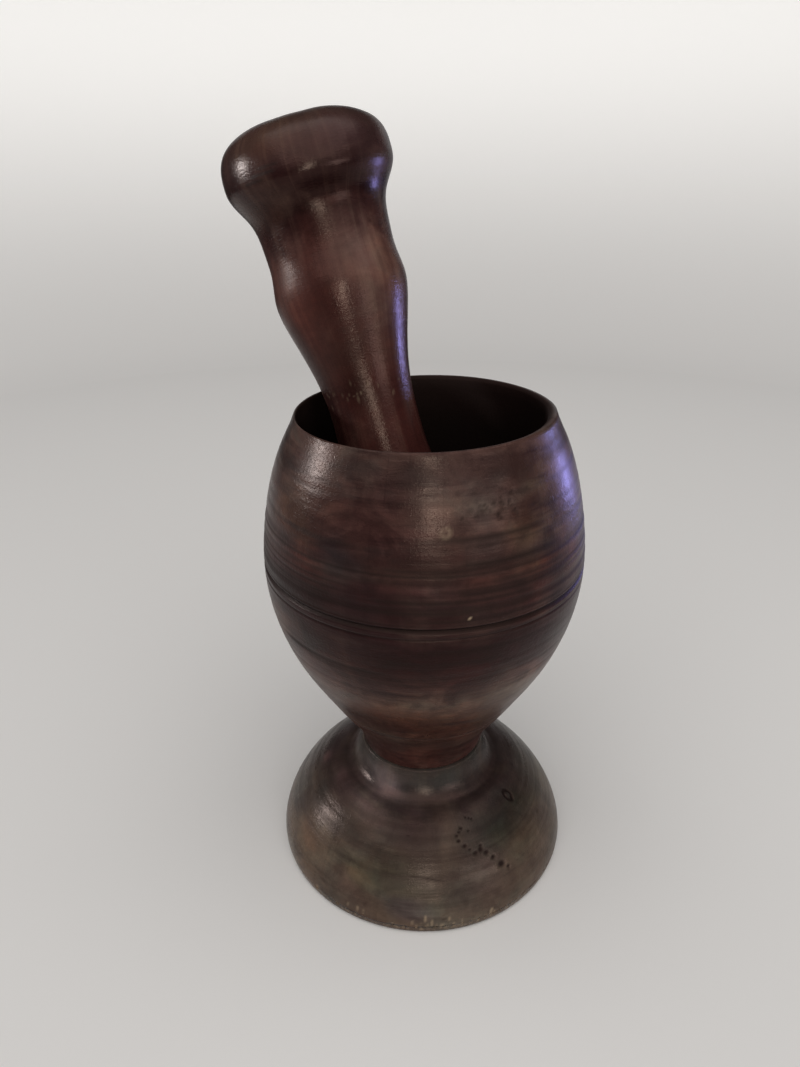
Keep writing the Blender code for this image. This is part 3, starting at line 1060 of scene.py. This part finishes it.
def bowl_wood():
    wood = Wood(
        name="bowl_old_wood",
        length=176.0,
        tones=[
            (44.0, (0.042, 0.016, 0.013)),
            (66.0, (0.042, 0.017, 0.013)),
            (72.0, (0.052, 0.024, 0.017)),
            (82.0, (0.045, 0.018, 0.012)),
            (93.0, (0.066, 0.037, 0.028)),
            (103.0, (0.028, 0.011, 0.009)),
            (112.0, (0.012, 0.003, 0.003)),
            (122.0, (0.014, 0.004, 0.005)),
            (131.0, (0.024, 0.009, 0.009)),
            (141.0, (0.032, 0.013, 0.012)),
            (156.0, (0.044, 0.022, 0.019)),
            (173.0, (0.048, 0.027, 0.023)),
        ],
        slope=0.35,
        streaks=0.68,
        fibres=0.12,
        clouds=0.85,
        light_rings=0.25,
        dark=(0.010, 0.003, 0.004),
        light=(0.085, 0.052, 0.040),
        gloss=(0.34, 0.29),
    )
    return old_wood(wood)


def foot_wood():
    wood = Wood(
        name="foot_old_wood",
        length=45.0,
        tones=[
            (0.0, (0.072, 0.046, 0.032)),
            (8.0, (0.066, 0.046, 0.034)),
            (20.0, (0.050, 0.037, 0.030)),
            (28.0, (0.034, 0.024, 0.020)),
            (33.0, (0.034, 0.021, 0.020)),
            (38.0, (0.030, 0.023, 0.022)),
            (44.6, (0.034, 0.027, 0.024)),
        ],
        slope=-0.9,
        streaks=0.30,
        fibres=0.12,
        clouds=0.55,
        light_rings=0.20,
        dark=(0.014, 0.009, 0.007),
        light=(0.100, 0.070, 0.050),
        gloss=(0.28, 0.28),
    )
    return old_wood(wood)


def pestle_wood():
    wood = Wood(
        name="pestle_old_wood",
        length=195.2,
        tones=[
            (0.0, (0.040, 0.012, 0.011)),
            (95.0, (0.044, 0.013, 0.011)),
            (105.0, (0.044, 0.014, 0.012)),
            (113.0, (0.046, 0.017, 0.014)),
            (130.0, (0.052, 0.020, 0.017)),
            (149.0, (0.062, 0.027, 0.023)),
            # Painted shade: the band under the knob, from 158 to 174 millimetres, is darkened
            (158.0, (0.028, 0.010, 0.009)),
            (166.0, (0.010, 0.003, 0.003)),
            (174.0, (0.016, 0.006, 0.006)),
            (180.0, (0.034, 0.015, 0.014)),
            (195.2, (0.042, 0.022, 0.018)),
        ],
        slope=-0.2,
        streaks=0.12,
        fibres=0.30,
        clouds=0.35,
        light_rings=0.12,
        dark=(0.018, 0.006, 0.006),
        light=(0.110, 0.060, 0.045),
        gloss=(0.25, 0.25),
    )
    return old_wood(wood)


# ---------------------------------------------------------------- studio


def pale_material(name, glow):
    """Matt white, with a glow that grows over the lowest half metre above the floor."""
    g = Graph(name)
    place = g.tree.nodes.new("ShaderNodeNewGeometry")
    split = g.tree.nodes.new("ShaderNodeSeparateXYZ")
    g.plug(split.inputs[0], place.outputs["Position"])
    g.shader.inputs["Base Color"].default_value = (0.86, 0.84, 0.82, 1.0)
    g.shader.inputs["Roughness"].default_value = 0.7
    g.shader.inputs["Specular IOR Level"].default_value = 0.2
    g.shader.inputs["Emission Color"].default_value = (1.0, 0.99, 0.96, 1.0)
    g.plug(g.shader.inputs["Emission Strength"], g.fade(split.outputs[2], 0.0, 0.5, 0.0, glow))
    return g.material


def swept(name, outline, material):
    """A surface of revolution, as smooth as a studio's sweep needs."""
    angle = np.radians(np.arange(0.0, 360.0, 3.0))
    count = len(angle)
    points = [(r * math.cos(a), r * math.sin(a), h) for r, h in outline for a in angle]
    faces = []
    for row in range(len(outline) - 1):
        for i in range(count):
            j = (i + 1) % count
            low = row * count
            faces.append((low + i, low + j, low + count + j, low + count + i))
    mesh = bpy.data.meshes.new(name)
    mesh.from_pydata(points, [], faces)
    mesh.shade_smooth()
    mesh.materials.append(material)
    sweep = bpy.data.objects.new(name, mesh)
    bpy.context.scene.collection.objects.link(sweep)
    return sweep


def make_stage():
    """A round floor, and a backdrop that sweeps up from its edge on every side."""
    reach = 0.8
    bend = 0.6
    top = 2.2
    middle = 0.5 * MM
    swept("floor", [(middle, 0.0), (0.3, 0.0), (reach, 0.0)], pale_material("pale_floor", 0.0))
    sweep = arc((reach, bend), bend, -90.0, 0.0, 24)
    wall = [*sweep, (reach + bend, top)]
    backdrop = swept("backdrop", wall, pale_material("pale_backdrop", 0.44))
    # The wood mirrors the dim room and the lamps, not the backdrop
    backdrop.visible_glossy = False
    backdrop.visible_diffuse = False
    backdrop.visible_shadow = False


def soft_light(name, azimuth, elevation, distance, size, brightness, colour, lit=None):
    """An area light that faces the middle of the object. Azimuth 0 is in front, 90 at +X.

    Brightness is the light's own radiance, so that its size doesn't change it. Lit is
    the collection it shines on, or None for everything.
    """
    middle = (cad_box[0] + cad_box[1]) / 2
    turn = math.radians(azimuth)
    rise = math.radians(elevation)
    level = math.cos(rise)
    away = Vector((math.sin(turn) * level, -math.cos(turn) * level, math.sin(rise)))
    lamp = bpy.data.lights.new(name, "AREA")
    lamp.shape = "RECTANGLE"
    lamp.size, lamp.size_y = size
    lamp.energy = brightness * math.pi * size[0] * size[1]
    lamp.color = colour
    holder = bpy.data.objects.new(name, lamp)
    holder.location = middle + away * distance
    holder.rotation_euler = (-away).to_track_quat("-Z", "Y").to_euler()
    holder.visible_camera = False
    bpy.context.scene.collection.objects.link(holder)
    if lit:
        holder.light_linking.receiver_collection = lit


def group(name, pieces):
    """A collection for light linking. It isn't linked to the scene."""
    collection = bpy.data.collections.new(name)
    for piece in pieces:
        collection.objects.link(piece)
    return collection


def make_lights(bowl, foot, pestle):
    """A ceiling lights everything. The lamps are kept off the floor and the backdrop.

    The violet strip is kept off the foot too.
    """
    wood = group("lit_by_lamps", [bowl, foot, pestle])
    upper = group("lit_by_strip", [bowl, pestle])
    daylight = (0.84, 0.93, 0.95)
    greenish = (0.85, 1.0, 0.92)
    bluish = (0.95, 0.98, 1.0)
    violet = (0.36, 0.37, 1.0)
    white = (1.0, 1.0, 1.0)
    yellowish = (1.0, 1.0, 0.92)
    soft_white = (1.0, 0.99, 0.98)
    # Name, azimuth, elevation, distance, size, brightness, colour and what it lights
    soft_light("window_left", -92.0, 15.0, 1.3, (0.14, 0.22), 75.0, daylight, wood)
    soft_light("soft_front", 6.0, 14.0, 1.5, (0.06, 0.75), 56.0, greenish, wood)
    soft_light("soft_side", 46.0, 9.0, 1.5, (0.70, 0.50), 4.2, bluish, wood)
    soft_light("strip_right", 122.0, -8.0, 1.2, (0.020, 0.46), 200.0, violet, upper)
    soft_light("wall_back", 180.0, 8.0, 1.5, (1.5, 0.8), 0.4, white, wood)
    soft_light("wall_right", 118.0, 5.0, 1.5, (1.2, 0.5), 0.35, yellowish, wood)
    soft_light("ceiling", 0.0, 72.0, 2.4, (4.0, 4.0), 1.6, soft_white)
    world = bpy.data.worlds.new("studio")
    world.use_nodes = True
    sky = world.node_tree.nodes["Background"]
    sky.inputs["Color"].default_value = (1.0, 1.0, 1.0, 1.0)
    sky.inputs["Strength"].default_value = 0.03
    bpy.context.scene.world = world


def make_camera():
    """The camera stands in front at the pestle's height, looking down at the bowl.

    It is rolled slightly, as a camera held in the hand is.
    """
    distance = 238.308 * MM
    height = 248.203 * MM
    lens = 25.854
    yaw = math.radians(-1.948)
    pitch = math.radians(26.199)
    roll = math.radians(0.435)
    forward = Vector(
        (math.sin(yaw) * math.cos(pitch), math.cos(yaw) * math.cos(pitch), -math.sin(pitch))
    )
    level = Vector((math.cos(yaw), -math.sin(yaw), 0.0))
    down = forward.cross(level)
    right = math.cos(roll) * level + math.sin(roll) * down
    up = math.sin(roll) * level - math.cos(roll) * down
    camera = bpy.data.cameras.new("camera")
    camera.lens = lens
    camera.clip_start = 0.01
    camera.clip_end = 20.0
    holder = bpy.data.objects.new("camera", camera)
    rows = [(right[i], up[i], -forward[i]) for i in range(3)]
    turn = Matrix(rows).to_4x4()
    holder.matrix_world = Matrix.Translation((0.0, -distance, height)) @ turn
    bpy.context.scene.collection.objects.link(holder)
    bpy.context.scene.camera = holder


def put_on(piece, body, node):
    """Let a piece move with its body and stand in for its CAD node."""
    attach(piece, body)
    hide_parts(node)


bowl = make_bowl(bowl_wood())
foot = make_foot(foot_wood())
pestle = make_pestle(pestle_wood())
put_on(bowl, "mortar", "bowl")
put_on(foot, "mortar", "foot")
put_on(pestle, "pestle", "pestle")
make_stage()
make_lights(bowl, foot, pestle)
make_camera()
bpy.context.scene.view_settings.view_transform = "Standard"
